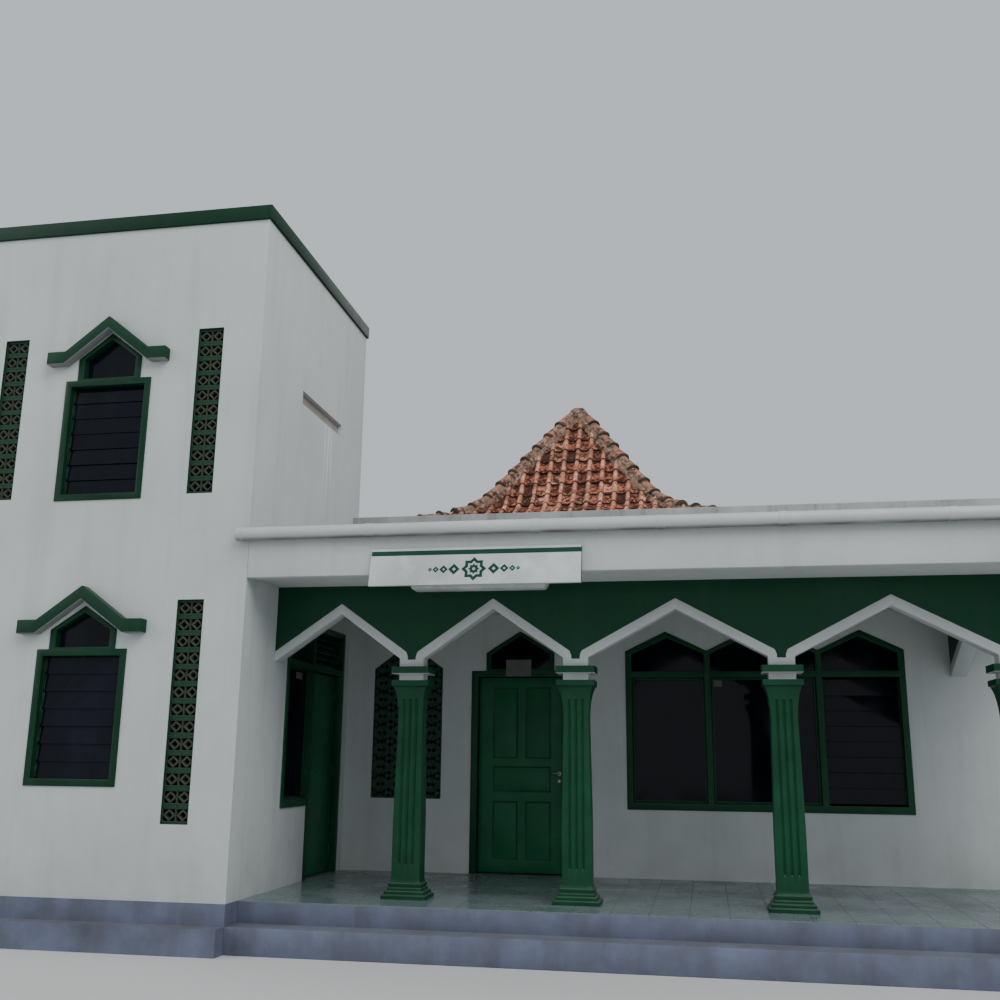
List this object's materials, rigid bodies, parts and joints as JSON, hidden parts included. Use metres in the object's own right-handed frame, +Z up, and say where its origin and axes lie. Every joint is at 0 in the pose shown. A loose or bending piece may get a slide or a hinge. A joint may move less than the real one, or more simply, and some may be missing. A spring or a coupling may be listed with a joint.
{
  "type": "neighbourhood mosque building",
  "caption": "Neighbourhood mosque with a two-storey wing, a veranda behind pointed arches, and a square prayer hall under a tiered tiled roof; its doors swing inwards.",
  "frame": {"origin": "on the ground, under the middle of the building's plan", "axes": "+X to the right along the front, +Y from the front to the rear, +Z up"},
  "size_m": [9.865, 12.8068, 6.9525],
  "materials": {
    "white_render": "matt painted render",
    "green_paint": "satin paint",
    "green_render": "painted render",
    "white_band": "painted render",
    "dark_glass": "dark and shiny",
    "roof_tile": "fired clay",
    "grey_plinth": "painted render",
    "floor_tile": "glazed floor tiles",
    "concrete": "weathered concrete",
    "white_pipe": "weathered paint",
    "sign_white": "painted sheet"
  },
  "bodies": {
    "building": {"arcade_band_front": "white_band", "arcade_band_return": "white_band", "arcade_wall_front": "green_render", "arcade_wall_return": "green_render", "column_1": "green_render", "column_2": "green_render", "column_3": "green_render", "column_4": "green_render", "front_door_frame": "green_paint", "front_fanlight_glass": "dark_glass", "hall_base": "grey_plinth", "hall_front_wall_left": "white_render", "hall_front_wall_over_door": "white_render", "hall_front_wall_right": "white_render", "hall_left_wall": "white_render", "hall_left_window": "green_paint", "hall_parapet_band": "concrete", "hall_pierced_window": "green_render", "hall_rear_wall": "white_render", "hall_right_wall": "white_render", "hall_right_window": "green_paint", "hall_roof_hips": "roof_tile", "hall_roof_lower": "roof_tile", "hall_roof_upper": "roof_tile", "hall_window_frame": "green_paint", "hall_window_glass": "dark_glass", "lower_vent_strip_left": "green_render", "lower_vent_strip_right": "green_render", "lower_window_frame": "green_paint", "lower_window_glass": "dark_glass", "lower_window_hood": "green_render", "side_door_frame": "green_paint", "side_louvre_panel": "green_paint", "side_slot_slab": "concrete", "side_window_glass": "dark_glass", "sign_board": "sign_white", "sign_light_box": "sign_white", "upper_vent_strip_left": "green_render", "upper_vent_strip_right": "green_render", "upper_window_frame": "green_paint", "upper_window_glass": "dark_glass", "upper_window_hood": "green_render", "veranda_base": "floor_tile", "veranda_beam": "white_render", "veranda_gutter": "white_pipe", "veranda_roof": "white_render", "wing_base": "grey_plinth", "wing_front_wall": "white_render", "wing_left_wall": "white_render", "wing_rear_wall": "white_render", "wing_roof": "green_render", "wing_side_wall_far": "white_render", "wing_side_wall_near": "white_render", "wing_side_wall_upper": "white_render", "wing_upper_floor": "concrete"},
    "front_leaf": {"front_door": "green_paint"},
    "side_leaf": {"side_door": "green_paint"}
  },
  "joints": [
    {"name": "front_door_hinge", "type": "hinge", "parent": "building", "child": "front_leaf", "pos_m": [-0.5165, -3.3384, 1.38], "axis": [0, 0, 1], "range_deg": [0, 90]},
    {"name": "side_door_hinge", "type": "hinge", "parent": "building", "child": "side_leaf", "pos_m": [-2.0655, -3.6814, 1.38], "axis": [0, 0, -1], "range_deg": [0, 90]}
  ]
}
